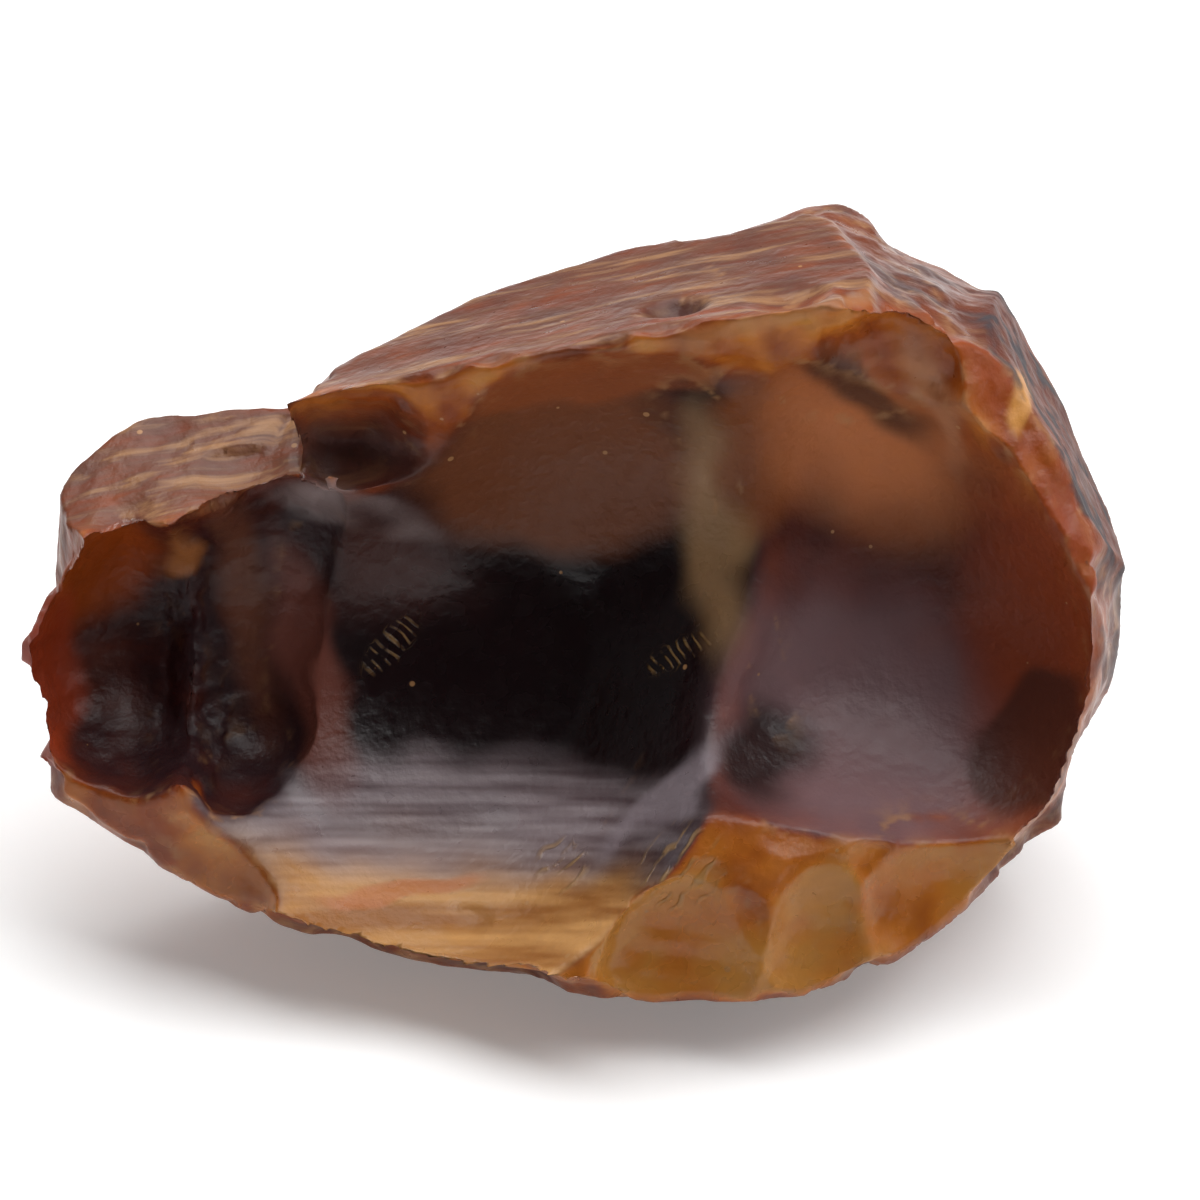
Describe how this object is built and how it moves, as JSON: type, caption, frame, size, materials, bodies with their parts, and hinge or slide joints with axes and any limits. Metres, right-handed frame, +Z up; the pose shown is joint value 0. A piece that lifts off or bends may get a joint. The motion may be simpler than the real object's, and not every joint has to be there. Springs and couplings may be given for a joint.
{
  "type": "rough fire opal",
  "caption": "Rough lump of fire opal, broken on every side into shell-shaped scars with sharp ridges, resting on a small flat spot.",
  "frame": {"origin": "on the resting surface, under the middle of the stone's bounding box", "axes": "+Z up, +X along the stone's length, towards its broad end; the big hollow face looks to -Y and up"},
  "size_m": [0.048, 0.031, 0.0298],
  "materials": {
    "fire_opal": "glassy broken surface, dark red-brown inside and amber where the stone is thin enough to let light through"
  },
  "bodies": {
    "root": {"fire_opal": "fire_opal"}
  },
  "joints": []
}
